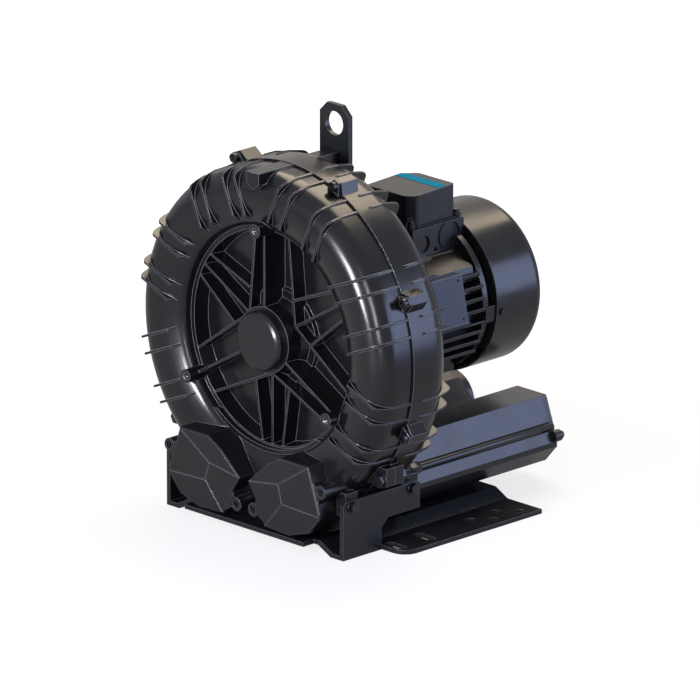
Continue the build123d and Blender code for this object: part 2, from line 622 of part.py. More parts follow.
def rotor_core():
    core = tube(ROTOR_R, ROTOR_SEAT_R, *CORE_Y)
    rings = tube(ROTOR_R - 2, 28, CORE_Y[0] - 8, CORE_Y[0]) + tube(ROTOR_R - 2, 28, CORE_Y[1], CORE_Y[1] + 8)
    return at_shaft(core + rings)


def cooling_fan():
    hub = tube(18, FAN_SEAT_R, 205, 232) + tube(75, 17, 207, 210)
    blade = block(16, 76, 207, 230, -1.2, 1.2)
    return at_shaft(hub + [turned(blade, 360 / 7 * i) for i in range(7)])


def fan_cowl():
    """Deep-drawn cowl with a rounded rear edge and a slotted rear wall."""
    y0, y1 = COWL_Y
    edge = COWL_EDGE_R
    outer = [Line((0, y0), (COWL_R, y0)), Line((COWL_R, y0), (COWL_R, y1 - edge)),
             RadiusArc((COWL_R, y1 - edge), (COWL_R - edge, y1), -edge), Line((COWL_R - edge, y1), (0, y1)),
             Line((0, y1), (0, y0))]
    inner_r, inner_edge = COWL_R - COWL_T, edge - COWL_T
    inner = [Line((0, y0 - 1), (inner_r, y0 - 1)), Line((inner_r, y0 - 1), (inner_r, y1 - edge)),
             RadiusArc((inner_r, y1 - edge), (COWL_R - edge, y1 - COWL_T), -inner_edge),
             Line((COWL_R - edge, y1 - COWL_T), (0, y1 - COWL_T)), Line((0, y1 - COWL_T), (0, y0 - 1))]
    body = revolve(profile(*outer), Axis.Y, 360) - revolve(profile(*inner), Axis.Y, 360)
    slots = []
    for row_r, count in ((30, 12), (50, 18), (70, 24)):
        slot = block(row_r - 8, row_r + 8, y1 - COWL_T - 1, y1 + 1, -2.2, 2.2)
        slots += [turned(slot, 360 / count * i) for i in range(count)]
    body -= slots
    body -= [turned(cross_rod(2.7, COWL_R - 5, COWL_R + 1, COWL_SCREW_Y, 0), angle) for angle in LUG_ANGLES]
    return at_shaft(body)


def cowl_screws():
    screw = cross_rod(2.4, 84, COWL_R + 0.5, COWL_SCREW_Y, 0) + cross_rod(4.2, COWL_R, COWL_R + 2.4, COWL_SCREW_Y, 0)
    return [at_shaft(turned(screw, angle)) for angle in LUG_ANGLES]


# ------------------------------------------------------------------ terminal box
def lid_outline(grow=0.0):
    """Plan of the lid: a rectangle with two opposite corners cut for the screws."""
    x, (y0, y1) = LID_X + grow, LID_Y
    y0, y1 = y0 - grow, y1 + grow
    return outline([(-x, y0), (x - LID_CUT, y0), (x, y0 + LID_CUT), (x, y1), (-x + LID_BACK_CUT, y1),
                    (-x, y1 - LID_BACK_CUT)])


def box_screw_points():
    """Two screws stand in the cut corners of the lid and one behind it."""
    return [(LID_X - 2.5, LID_Y[0] + 2.3), (LID_X - 1.3, LID_Y[1] + 3.8), (-LID_X + 4.2, LID_Y[1] - 4.2)]


def terminal_box_base():
    """Box with solid skirts that straddle the round frame, cable entries on both sides."""
    z0, z1 = BOX_Z
    body = block(-BOX_X, BOX_X, *BOX_Y, z0, z1)
    body -= block(-BOX_X + BOX_WALL, BOX_X - BOX_WALL, BOX_Y[0] + BOX_WALL, BOX_Y[1] - BOX_WALL, BOX_FLOOR, z1 + 1)
    for x, y in box_screw_points():
        body += Pos(x, y, (BOX_FLOOR + z1) / 2) * Box(9, 9, z1 - BOX_FLOOR)
        body -= Pos(x, y, z1 - 4) * Cylinder(2.1, 16)
    entry = (KNOCKOUT_Y, KNOCKOUT_Z)
    body += both_sides(cross_rod(KNOCKOUT_R + 1.8, BOX_X - 1, BOX_X + 1.5, *entry))
    body -= both_sides(cross_rod(KNOCKOUT_R, BOX_X - 2.4, BOX_X + 5, *entry))
    body -= both_sides(cross_rod(10.0, BOX_X - 2.4, BOX_X + 2, 126, 72))
    body -= both_sides(cross_rod(2.2, BOX_X - 2.4, BOX_X + 2, 145, 62.5))
    return at_shaft(body - rod(FRAME_R + 0.05, BOX_Y[0] - 1, FRAME_BACK_Y + 0.5))


def knock_out_plugs():
    """Blanking discs of the two large cable entries, set back inside their collars."""
    disc = cross_rod(KNOCKOUT_R - 0.2, BOX_X - 2.4, BOX_X - 0.6, KNOCKOUT_Y, KNOCKOUT_Z)
    disc -= cross_rod(KNOCKOUT_R - 3, BOX_X - 1.4, BOX_X + 2, KNOCKOUT_Y, KNOCKOUT_Z)
    return both_sides(at_shaft(disc))


def screw_ears(height):
    return [Pos(x, y, height / 2) * Cylinder(5.0, height) for x, y in box_screw_points()]


def terminal_box_gasket():
    seal = extrude(lid_outline(2.0), 1.5) + screw_ears(1.5) - extrude(lid_outline(-3.0), 1.5)
    seal -= [Pos(x, y, 0) * Cylinder(2.6, 8) for x, y in box_screw_points()]
    return at_shaft(Pos(0, 0, BOX_Z[1]) * seal)


def terminal_box_cover():
    z0 = BOX_Z[1] + 1.5
    body = extrude(lid_outline(), LID_TOP - z0)
    body = chamfer(body.faces().sort_by(Axis.Z)[-1].edges(), 1.2)
    body += screw_ears(4.0)
    body -= extrude(lid_outline(-3.0), LID_TOP - z0 - 3)
    body -= [Pos(x, y, 0) * Cylinder(2.3, 20) for x, y in box_screw_points()]
    return at_shaft(Pos(0, 0, z0) * body)


def terminal_box_screws():
    z = BOX_Z[1] + 5.5
    return [at_shaft(Pos(x, y, z - 6.5) * Cylinder(2.0, 13.2) + Pos(x, y, z + 1.6) * Cylinder(3.7, 3.2))
            for x, y in box_screw_points()]


def terminal_block():
    z = BOX_FLOOR
    body = Pos(0, 150, z + 6) * Box(44, 26, 12)
    studs = [Pos(x, y, z + 15) * Cylinder(2, 9) for x in (-14, 0, 14) for y in (144, 156)]
    return at_shaft(body + studs)


# ------------------------------------------------------------------ lifting eye
def lifting_eye():
    half, cut = EYE_HALF, EYE_CUT
    face = outline([(-half + 6, EYE_BOTTOM), (half - 6, EYE_BOTTOM), (half, EYE_BOTTOM + 6), (half, EYE_TOP - cut),
                    (half - cut, EYE_TOP), (-half + cut, EYE_TOP), (-half, EYE_TOP - cut), (-half, EYE_BOTTOM + 6)])
    body = slab(face, *EYE_Y) - rod(EYE_HOLE_R, EYE_Y[0] - 1, EYE_Y[1] + 1, 0, EYE_HOLE_Z)
    body -= [rod(3.5, EYE_Y[0] - 1, EYE_Y[1] + 1, 0, z) for z in (168, 183)]
    return at_shaft(body)


def eye_screws():
    screws = [rod(3.2, 12, EYE_Y[1] + 1, 0, z) + hex_rod(10, EYE_Y[1], EYE_Y[1] + 5, 0, z) for z in (168, 183)]
    return [at_shaft(screw) for screw in screws]


# ------------------------------------------------------------------ caps and silencers
def cap_ears(y0, y1, grow=0.0):
    """Round screw ears, each joined to two corners of the cap."""
    ears = []
    for (x, z), (corner, other) in zip(CAP_SCREWS, CAP_EAR_CORNERS):
        web = slab(outline([corner, (x, z), other]), y0, y1)
        ears.append(rod(CAP_EAR_R + grow, y0, y1, x, z) + web)
    return ears


def front_cap():
    """Faceted blind cap over a front port, with a sunk joint pattern on its face."""
    y_back = BLOCK_FRONT_Y - GASKET_T
    body = slab(outline(CAP_OUTLINE), CAP_FRONT_Y, y_back)
    body = chamfer(body.faces().sort_by(Axis.Y)[0].edges(), 1.4)
    body += cap_ears(CAP_EAR_FRONT_Y, y_back)
    body -= rod(PORT_R, y_back - 22, y_back + 1, *CAP_CENTRE)
    upper, lower = (53.0, 71.0), (58.5, 50.0)
    for start, end in ((upper, (8.5, 64.5)), (upper, (95.5, 98.0)), (upper, lower), (lower, (113.0, 48.0)),
                       (lower, (33.0, 20.0))):
        body -= face_groove(start, end)
    body -= [rod(3.4, CAP_FRONT_Y - 1, y_back + 1, x, z) for x, z in CAP_SCREWS]
    body -= [rod(4.8, CAP_FRONT_Y - 1, CAP_EAR_FRONT_Y + 7, x, z) for x, z in CAP_SCREWS]
    return body


def face_groove(start, end):
    (x0, z0), (x1, z1) = start, end
    length = sqrt((x1 - x0) ** 2 + (z1 - z0) ** 2)
    frame = Plane(origin=((x0 + x1) / 2, CAP_FRONT_Y, (z0 + z1) / 2), x_dir=(x1 - x0, 0, z1 - z0), z_dir=(0, 1, 0))
    return frame * Box(length, 1.3, 1.6)


def cap_gasket():
    seal = slab(outline(CAP_OUTLINE), BLOCK_FRONT_Y - GASKET_T, BLOCK_FRONT_Y)
    return seal - rod(PORT_R, BLOCK_FRONT_Y - 5, BLOCK_FRONT_Y + 5, *CAP_CENTRE)


def cap_screws():
    """Socket-head screws sunk in the ears."""
    head_y = CAP_EAR_FRONT_Y + 1.5
    out = []
    for x, z in CAP_SCREWS:
        screw = rod(3.2, head_y + 5, BLOCK_FRONT_Y + 12, x, z) + rod(4.7, head_y, head_y + 5.4, x, z)
        out += both_sides(screw - hex_rod(4, head_y - 1, head_y + 3, x, z))
    return out


def silencer():
    """Extruded silencer body with a groove for its tie rod on the outer side."""
    y0 = BLOCK_BACK_Y + GASKET_T
    body = slab(outline(CAP_OUTLINE), y0, SILENCER_BACK_Y)
    inner = offset(outline(CAP_OUTLINE), -SILENCER_WALL, kind=Kind.INTERSECTION)
    body -= slab(inner, y0 + 4, SILENCER_BACK_Y + 1)
    x, z = TIE_ROD
    body += rod(TIE_ROD_R + 3.5, y0, SILENCER_BACK_Y, x - 1, z) & slab(outline(CAP_OUTLINE), y0, SILENCER_BACK_Y)
    body -= rod(TIE_ROD_R + 1.4, y0 - 1, SILENCER_BACK_Y + 1, x + 0.8, z)
    body -= rod(7.0, y0 - 1, y0 + 16, x, z)
    body -= rod(TUBE_R + 0.2, y0 - 1, y0 + 6, PORT_X, PORT_Z)
    return body


def silencer_foam():
    y0 = BLOCK_BACK_Y + GASKET_T + 6
    inner = offset(outline(CAP_OUTLINE), -SILENCER_WALL - 1, kind=Kind.INTERSECTION)
    body = slab(inner, y0, SILENCER_BACK_Y - 4) - rod(TUBE_R + 0.3, y0 - 1, SILENCER_BACK_Y, PORT_X, PORT_Z)
    x, z = TIE_ROD
    return body - rod(TIE_ROD_R + 7, y0 - 1, SILENCER_BACK_Y, x, z)


def silencer_tube():
    y0 = BLOCK_BACK_Y + GASKET_T
    return Pos(PORT_X, 0, PORT_Z) * tube(TUBE_R, TUBE_R - 1.2, y0 + 0.2, SILENCER_BACK_Y - 0.2)


def silencer_gasket():
    y0 = BLOCK_BACK_Y
    seal = slab(outline(CAP_OUTLINE), y0, y0 + GASKET_T) - rod(PORT_R, y0 - 1, y0 + 5, PORT_X, PORT_Z)
    x, z = TIE_ROD
    return seal - rod(TIE_ROD_R + 2, y0 - 1, y0 + 5, x, z)


def end_cap():
    """Rear cap of a silencer with the threaded pipe connection."""
    y0, y1 = SILENCER_BACK_Y, SILENCER_BACK_Y + END_CAP_T
    body = slab(outline(CAP_OUTLINE), y0, y1)
    body = chamfer(body.faces().sort_by(Axis.Y)[-1].edges(), 8.0)
    body += rod(33, y1 - 1, y1 + 9, PORT_X, PORT_Z)
    body += rod(6.5, y0, y0 + 10, *END_CAP_EAR)
    body -= rod(THREAD_R, y0 - 1, y1 + 10, PORT_X, PORT_Z)
    x, z = TIE_ROD
    body -= rod(TIE_ROD_R + 0.5, y0 - 1, y1 + 1, x, z)
    return body


def tie_rod():
    """Rod from the port block to the end cap, with a hexagon at each end."""
    x, z = TIE_ROD
    y1 = SILENCER_BACK_Y + END_CAP_T
    rod_y0 = BLOCK_BACK_Y
    body = rod(TIE_ROD_R, rod_y0, y1 + 7, x, z)
    body += hex_rod(11.0, rod_y0 + 2, rod_y0 + 14, x, z)
    return body + hex_rod(12, y1 + 0.1, y1 + 6, x, z)


# ------------------------------------------------------------------ base frame
def base_section(x_out):
    """Bent sheet seen from the front: raised panel, slopes and level edges."""
    top = [(x_out, SHEET), (119.0, SHEET), (100.6, PANEL_TOP)]
    bottom = [(97.5, PANEL_TOP - SHEET), (116.0, 0.0), (x_out, 0.0)]
    right = bottom + [(x, z) for x, z in top]
    return outline([(x, z) for x, z in right] + mirrored(right))


def side_wall():
    """Upright wall with an arm that reaches back along the casting."""
    points = [(WALL_FRONT_Y, 0), (FLANGE_FRONT_Y, 0), (FLANGE_FRONT_Y, 24), (-21, 34), (26.5, 34), (26.5, 61.5),
              (23.5, 64.5), (-85.5, 64.5), (WALL_FRONT_Y, 61.5)]
    face = outline(points)
    wall = extrude(Plane.YZ.offset(WALL_X - SHEET) * face, SHEET)
    wall -= [cross_rod(3.4, WALL_X - SHEET - 1, WALL_X + 1, y, BASE_SCREW_Z) for y in BASE_SCREWS_Y]
    return wall


def foot_slot(x, y):
    return Pos(x, y, SHEET / 2) * extrude(SlotOverall(SLOT_LENGTH, 2 * SLOT_R), 20, both=True)


def base_frame():
    body = slab(base_section(WALL_X), WALL_FRONT_Y, FLANGE_FRONT_Y)
    body += slab(base_section(FLANGE_X), FLANGE_FRONT_Y, BASE_BACK_Y)
    body += block(-TONGUE_X, TONGUE_X, TONGUE_FRONT_Y, WALL_FRONT_Y, PANEL_TOP - SHEET, PANEL_TOP)
    body += both_sides(side_wall())
    corners = [e for e in body.edges().filter_by(Axis.Z) if abs(abs(e.center().X) - FLANGE_X) < 0.1]
    body = fillet([e for e in corners if e.center().Y < 0], 18)
    body -= [foot_slot(sx * SLOT_X, sy * SLOT_Y) for sx in (-1, 1) for sy in (-1, 1)]
    for x, *ys in (INNER_HOLES, OUTER_HOLES):
        body -= [Pos(sx * x, y, 0) * Cylinder(FOOT_HOLE_R, 30) for sx in (-1, 1) for y in ys]
    return body


def base_screws():
    out = []
    for y in BASE_SCREWS_Y:
        screw = cross_rod(3.2, 118, WALL_X + 0.5, y, BASE_SCREW_Z)
        head = Pos(WALL_X + 2, y, BASE_SCREW_Z) * Rot(0, 90, 0) * extrude(RegularPolygon(6.5, 6), 4, both=True)
        head &= block(WALL_X, WALL_X + 5, y - 10, y + 10, BASE_SCREW_Z - 10, BASE_SCREW_Z + 10)
        out += both_sides(screw + head)
    return out


# ------------------------------------------------------------------ assembly
save(front_cover(), "front_cover")
save(rear_housing(), "rear_housing")
save(cover_bolts(), "cover_bolts")
save(hub_cap(), "hub_cap")
save(lifting_eye(), "lifting_eye")
save(eye_screws(), "eye_screws")
save(base_frame(), "base_frame")
save(base_screws(), "base_screws")

for name, make in (("front_cap", front_cap), ("silencer", silencer), ("silencer_foam", silencer_foam),
                   ("silencer_tube", silencer_tube), ("silencer_end_cap", end_cap)):
    right, left = both_sides(make())
    save(right, f"{name}_right")
    save(left, f"{name}_left")
save(both_sides(cap_gasket()), "cap_gaskets")
save(both_sides(silencer_gasket()), "silencer_gaskets")
save(both_sides(tie_rod()), "tie_rods")
save(cap_screws(), "cap_screws")

save(motor_frame(), "motor_frame")
save(rating_plate(), "rating_plate")
save(drive_end_shield(), "drive_end_shield")
save(drive_end_screws(), "drive_end_screws")
save(rear_end_shield(), "rear_end_shield")
save(preload_spring(), "preload_spring")
save(stator_core(), "stator_core")
save(stator_windings(), "stator_windings")
save(fan_cowl(), "fan_cowl")
save(cowl_screws(), "cowl_screws")

save(terminal_box_base(), "terminal_box_base")
save(knock_out_plugs(), "knock_out_plugs")
save(terminal_box_gasket(), "terminal_box_gasket")
save(terminal_box_cover(), "terminal_box_cover")
save(terminal_box_screws(), "terminal_box_screws")
save(terminal_block(), "terminal_block")

save(motor_shaft(), "motor_shaft")
save(rotor_core(), "rotor_core")
save(impeller(), "impeller")
save(impeller_key(), "impeller_key")
save(cooling_fan(), "cooling_fan")
save(retaining_rings(), "retaining_rings")
save(shaft_seals(), "shaft_seals")
for place, y_bearing in (("front", FRONT_BEARING_Y), ("rear", REAR_BEARING_Y)):
    save(bearing_outer(y_bearing), f"{place}_bearing_outer_ring")
    save(bearing_inner(y_bearing), f"{place}_bearing_inner_ring")
    save(bearing_cage(y_bearing), f"{place}_bearing_cage")
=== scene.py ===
# %% [markdown]
# # A side channel blower in black powder coat
# The machine is a cast ring with a finned motor behind it, on a base bent from thick steel sheet. Its
# solids are already drawn in CAD and come in as a fixed frame of named nodes, in metres. Blender's part is
# the surface of every piece, the small pieces that are not in the CAD, the light and the camera.

# %% Load the CAD frame
import math
import bpy
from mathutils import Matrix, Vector


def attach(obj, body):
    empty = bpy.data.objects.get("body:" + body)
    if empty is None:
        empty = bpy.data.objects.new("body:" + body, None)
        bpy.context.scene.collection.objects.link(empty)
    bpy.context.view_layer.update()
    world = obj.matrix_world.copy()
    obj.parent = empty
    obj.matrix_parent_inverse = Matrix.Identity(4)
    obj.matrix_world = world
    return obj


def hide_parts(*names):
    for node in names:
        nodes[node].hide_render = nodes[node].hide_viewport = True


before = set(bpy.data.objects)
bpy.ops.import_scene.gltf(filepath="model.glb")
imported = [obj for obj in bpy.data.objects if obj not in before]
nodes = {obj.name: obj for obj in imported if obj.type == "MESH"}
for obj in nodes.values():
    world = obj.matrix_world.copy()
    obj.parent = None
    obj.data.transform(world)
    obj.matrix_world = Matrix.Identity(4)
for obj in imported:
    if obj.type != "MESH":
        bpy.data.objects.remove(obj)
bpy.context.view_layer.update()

# %% [markdown]
# ## Camera
# The object is seen from its front right, a little from above, with hardly any perspective: the sides of
# the base stay parallel. A very long lens far away does the same. The camera looks at one point near the
# motor's front end, and stands far out along a fixed direction from it.

# %% Camera
AIM = Vector((-0.00175, 0.05679, 0.17242))
AZIMUTH = math.radians(45.38)
ELEVATION = math.radians(17.64)
DISTANCE = 12.54
LENS_MM, SENSOR_MM = 600, 36
FARTHEST = 100


def place_camera():
    """Add the long-lens camera and make it the scene's own."""
    level = math.cos(ELEVATION)
    away = Vector((math.sin(AZIMUTH) * level, -math.cos(AZIMUTH) * level, math.sin(ELEVATION)))
    bpy.ops.object.camera_add(location=AIM + away * DISTANCE)
    camera = bpy.context.object
    camera.name = "camera"
    camera.rotation_euler = (-away).to_track_quat("-Z", "Y").to_euler()
    camera.data.lens = LENS_MM
    camera.data.sensor_width = SENSOR_MM
    camera.data.clip_end = FARTHEST
    bpy.context.scene.camera = camera
    return camera


camera = place_camera()
print("camera at", [round(v, 2) for v in camera.location])

# %% [markdown]
# ## Colours and nodes
# Colours are written as sRGB hex values, the way a paint chart gives them, and one function turns them
# into the linear values that the renderer works with. One more function adds a node, sets it and links it,
# so a material reads like a short recipe.

# %% Two helpers for materials
def linear(code):
    """An sRGB hex value such as #2f2f33 as linear red, green, blue and alpha."""
    parts = [int(code[i:i + 2], 16) / 255 for i in (1, 3, 5)]
    return [p / 12.92 if p <= 0.04045 else ((p + 0.055) / 1.055) ** 2.4 for p in parts] + [1.0]


def add(material, kind, inputs=None, **settings):
    """Add one shader node. An input is a plain value or the output socket that feeds it."""
    tree = material.node_tree
    node = tree.nodes.new("ShaderNode" + kind)
    for name, value in settings.items():
        setattr(node, name, value)
    for name, value in (inputs or {}).items():
        if isinstance(value, bpy.types.NodeSocket):
            tree.links.new(value, node.inputs[name])
        else:
            node.inputs[name].default_value = value
    return node


def empty_material(name):
    material = bpy.data.materials.new(name)
    material.use_nodes = True
    material.node_tree.nodes.clear()
    return material


MM_PER_M = 1000


def per_mm(size_mm):
    """Scale of a texture whose grain is size_mm wide, on coordinates in metres."""
    return MM_PER_M / size_mm


# %% [markdown]
# ## Powder coat
# Nearly every outside surface is powder coated: a polyester powder, baked to a skin about 0.1 mm thick. It
# flows round edges and leaves a faint orange peel. The eye reads it from three things: a soft gloss, the
# tiny waves in it, and a thin bright line where an edge is rounded. The rounding comes from the Bevel
# node, which bends the normals near an edge and leaves the mesh alone. The bright line is also painted:
# where the rounding turns the normal, the colour goes over to a lighter one, a painted highlight.

# %% Powder coat recipe
BEVEL_SAMPLES = 6
EDGE_STARTS, EDGE_FULL = 0.995, 0.75       # cosine of the turn that the rounding gives the normal
EDGE_POLISH = 0.6                          # handling makes edges shinier
PATCH_MM = 45                              # gloss differs a little from patch to patch
GLOSS_BELOW, GLOSS_ABOVE = 0.03, 0.04
BUMP_STRENGTH = 0.5
PAINT_IOR = 1.5
CLOUD_LOW, CLOUD_HIGH = 0.35, 0.65         # noise stays mostly between these


def powder_coat(name, colour, edge_highlight_colour, roughness, peel_mm, peel_depth_mm, edge_mm, cast_grain_mm=0.0):
    """Black coating: colour on the flat; on rounded edges a lighter colour, a painted highlight."""
    m = empty_material(name)
    where = add(m, "TexCoord").outputs["Object"]
    rounded = add(m, "Bevel", {"Radius": edge_mm / MM_PER_M}, samples=BEVEL_SAMPLES)
    flat = add(m, "NewGeometry").outputs["Normal"]
    turn = add(m, "VectorMath", {0: rounded.outputs["Normal"], 1: flat}, operation="DOT_PRODUCT")
    edge = add(m, "MapRange", {"Value": turn.outputs["Value"], "From Min": EDGE_STARTS,
                               "From Max": EDGE_FULL, "To Min": 0.0, "To Max": 1.0})
    cloud = add(m, "TexNoise", {"Vector": where, "Scale": per_mm(PATCH_MM), "Detail": 3.0})
    patch = add(m, "MapRange", {"Value": cloud.outputs["Fac"], "From Min": CLOUD_LOW,
                                "From Max": CLOUD_HIGH, "To Min": roughness - GLOSS_BELOW,
                                "To Max": roughness + GLOSS_ABOVE})
    polish = add(m, "Mix", {"Factor": edge.outputs["Result"], "A": patch.outputs["Result"],
                            "B": roughness * EDGE_POLISH}, data_type="FLOAT")
    # Painted highlight: the colour turns lighter where the rounding turns the normal, on every edge.
    painted_edge_highlight = add(m, "Mix", {"Factor": edge.outputs["Result"], "A": linear(colour), "B": linear(edge_highlight_colour)},
               data_type="RGBA")
    peel = add(m, "TexNoise", {"Vector": where, "Scale": per_mm(peel_mm), "Detail": 1.0})
    height = peel.outputs["Fac"]
    if cast_grain_mm:
        grain = add(m, "TexNoise", {"Vector": where, "Scale": per_mm(cast_grain_mm), "Detail": 4.0})
        height = add(m, "Math", {0: height, 1: grain.outputs["Fac"]}, operation="ADD").outputs["Value"]
    bump = add(m, "Bump", {"Height": height, "Distance": peel_depth_mm / MM_PER_M, "Strength": BUMP_STRENGTH,
                           "Normal": rounded.outputs["Normal"]})
    skin = add(m, "BsdfPrincipled", {"Base Color": painted_edge_highlight.outputs["Result"], "IOR": PAINT_IOR,
                                     "Roughness": polish.outputs["Result"], "Normal": bump.outputs["Normal"]})
    add(m, "OutputMaterial", {"Surface": skin.outputs["BSDF"]})
    return m


# %% [markdown]
# ## The black finishes
# The castings have the coarsest skin, because fine die marks show through the coat. So have the motor
# frame and the caps, a little less. The sheet parts are smoother, the silencer bodies are drawn aluminium,
# and the deep-drawn cowl is the smoothest of all. Grain under half a millimetre would not show, so the
# waves are drawn about 2 mm apart.

# %% Black finishes
# The second colour of each finish is a painted highlight: the lighter grey on its rounded edges.
cast_black = powder_coat("powder-coated die-cast aluminium", "#101013", "#7c7c85", 0.22, 2.2, 0.05, 1.1, 0.9)
motor_black = powder_coat("powder-coated cast motor frame", "#121215", "#70717a", 0.26, 2.0, 0.04, 0.9, 0.8)
sheet_black = powder_coat("powder-coated laser-cut steel", "#111215", "#64656e", 0.28, 1.6, 0.03, 0.8)
cowl_black = powder_coat("painted deep-drawn steel", "#161619", "#74747c", 0.22, 2.5, 0.02, 1.2)
cap_black = powder_coat("powder-coated cast cap", "#111114", "#74747d", 0.34, 1.8, 0.04, 0.9, 0.8)
silencer_black = powder_coat("powder-coated drawn aluminium", "#17181c", "#70717a", 0.25, 2.0, 0.02, 1.0)


# %% [markdown]
# ## Moulded plastic
# The terminal box, its blanking plugs, the fan and the hub cap are injection moulded. Glass-filled nylon
# has an even, slightly waxy gloss and softer edges than paint, and its spark-eroded mould leaves a fine
# matte grain.

# %% Plastics and rubber
HAZE_MM = 30


def moulded(name, colour, roughness, grain_mm, depth_mm, edge_mm=0.5, ior=1.53):
    """One solid colour all through, with the mould's grain on its skin."""
    m = empty_material(name)
    where = add(m, "TexCoord").outputs["Object"]
    rounded = add(m, "Bevel", {"Radius": edge_mm / MM_PER_M}, samples=BEVEL_SAMPLES)
    grain = add(m, "TexNoise", {"Vector": where, "Scale": per_mm(grain_mm), "Detail": 3.0})
    haze = add(m, "TexNoise", {"Vector": where, "Scale": per_mm(HAZE_MM), "Detail": 2.0})
    shine = add(m, "MapRange", {"Value": haze.outputs["Fac"], "From Min": 0.3, "From Max": 0.7,
                                "To Min": roughness - GLOSS_BELOW, "To Max": roughness + GLOSS_ABOVE})
    bump = add(m, "Bump", {"Height": grain.outputs["Fac"], "Distance": depth_mm / MM_PER_M,
                           "Strength": BUMP_STRENGTH, "Normal": rounded.outputs["Normal"]})
    skin = add(m, "BsdfPrincipled", {"Base Color": linear(colour), "Roughness": shine.outputs["Result"],
                                     "IOR": ior, "Normal": bump.outputs["Normal"]})
    add(m, "OutputMaterial", {"Surface": skin.outputs["BSDF"]})
    return m


box_plastic = moulded("glass-filled nylon box", "#17171b", 0.26, 0.9, 0.03, 0.9)
plug_plastic = moulded("nylon blanking plug", "#1a1b1f", 0.30, 0.8, 0.03)
hub_plastic = moulded("satin moulded hub cap", "#141417", 0.22, 1.2, 0.02, 0.8)
fan_plastic = moulded("polypropylene fan", "#1d1d1f", 0.5, 1.0, 0.03)
block_plastic = moulded("phenolic terminal block", "#4a3322", 0.45, 0.8, 0.03)
seal_rubber = moulded("nitrile rubber seal", "#1a1a1a", 0.6, 0.7, 0.04, 0.2)
label_vinyl = moulded("teal vinyl film", "#0082ab", 0.6, 1.5, 0.005, 0.1, 1.12)


# %% [markdown]
# ## Bare metals
# Inside the machine the metals are bare. A metal's colour is its reflection, so it is set as a metallic
# surface and the tool marks do the rest: turned shafts carry fine rings, cast impellers a grain, and the
# motor's core shows the edges of its stacked sheets.

# %% Bare metals
BRUSH_BELOW, BRUSH_ABOVE = 0.06, 0.08
METAL_EDGE_MM = 0.4


def bare_metal(name, colour, roughness, grain_mm, depth_mm, stretch=(1, 1, 1), metallic=1.0):
    """A metal with marks of one grain size; stretch draws them out along an axis."""
    m = empty_material(name)
    where = add(m, "TexCoord").outputs["Object"]
    drawn = add(m, "Mapping", {"Vector": where, "Scale": stretch})
    rounded = add(m, "Bevel", {"Radius": METAL_EDGE_MM / MM_PER_M}, samples=4)
    marks = add(m, "TexNoise", {"Vector": drawn.outputs["Vector"], "Scale": per_mm(grain_mm), "Detail": 2.0})
    shine = add(m, "MapRange", {"Value": marks.outputs["Fac"], "From Min": 0.3, "From Max": 0.7,
                                "To Min": roughness - BRUSH_BELOW, "To Max": roughness + BRUSH_ABOVE})
    bump = add(m, "Bump", {"Height": marks.outputs["Fac"], "Distance": depth_mm / MM_PER_M,
                           "Strength": BUMP_STRENGTH, "Normal": rounded.outputs["Normal"]})
    skin = add(m, "BsdfPrincipled", {"Base Color": linear(colour), "Metallic": metallic,
                                     "Roughness": shine.outputs["Result"], "Normal": bump.outputs["Normal"]})
    add(m, "OutputMaterial", {"Surface": skin.outputs["BSDF"]})
    return m


bolt_steel = bare_metal("black-oxide steel screws", "#47474b", 0.30, 0.9, 0.02)
plate_metal = bare_metal("black anodised aluminium plate", "#33363c", 0.38, 0.5, 0.01, (1, 0.1, 1), 0.6)
ground_steel = bare_metal("ground steel shaft", "#b9babd", 0.22, 0.5, 0.005, (0.15, 1, 0.15))
spring_steel = bare_metal("blued spring steel", "#6a6f7a", 0.30, 0.8, 0.005)
sheet_stack = bare_metal("stacked core sheets", "#8d8f94", 0.45, 0.7, 0.05, (0.05, 1, 0.05))
bearing_steel = bare_metal("polished bearing steel", "#c9cace", 0.12, 0.6, 0.002, (0.2, 1, 0.2))
cage_brass = bare_metal("pressed brass cage", "#c7a45e", 0.30, 0.8, 0.01)
cast_raw = bare_metal("bare cast aluminium", "#b4b6ba", 0.42, 1.2, 0.05)
winding_copper = bare_metal("enamelled copper wire", "#b9693a", 0.32, 0.8, 0.15, (1, 0.12, 1))


# %% [markdown]
# ## Silencer filling
# Sound is soaked up by open-cell foam round a tube of perforated steel. The foam's cells are drawn 1.6 mm
# wide. The tube's holes are 3 mm wide and 5 mm apart: dark round dots in a straight grid stand for them,
# because the tube's own wall is plain.

# %% Foam and perforated steel
CELL_MM, CELL_DEPTH_MM = 1.6, 0.8
HOLE_STEP_MM, HOLE_SHARE = 5, 0.3          # radius of a hole as a share of the step


def open_foam():
    """Dark grey sponge with a cell pattern in its colour and relief."""
    m = empty_material("open-cell foam")
    where = add(m, "TexCoord").outputs["Object"]
    cells = add(m, "TexVoronoi", {"Vector": where, "Scale": per_mm(CELL_MM)})
    shade = add(m, "Mix", {"Factor": cells.outputs["Distance"], "A": linear("#2e2e31"),
                           "B": linear("#5d5d61")}, data_type="RGBA")
    bump = add(m, "Bump", {"Height": cells.outputs["Distance"], "Distance": CELL_DEPTH_MM / MM_PER_M})
    skin = add(m, "BsdfPrincipled", {"Base Color": shade.outputs["Result"], "Roughness": 0.95,
                                     "Normal": bump.outputs["Normal"]})
    add(m, "OutputMaterial", {"Surface": skin.outputs["BSDF"]})
    return m


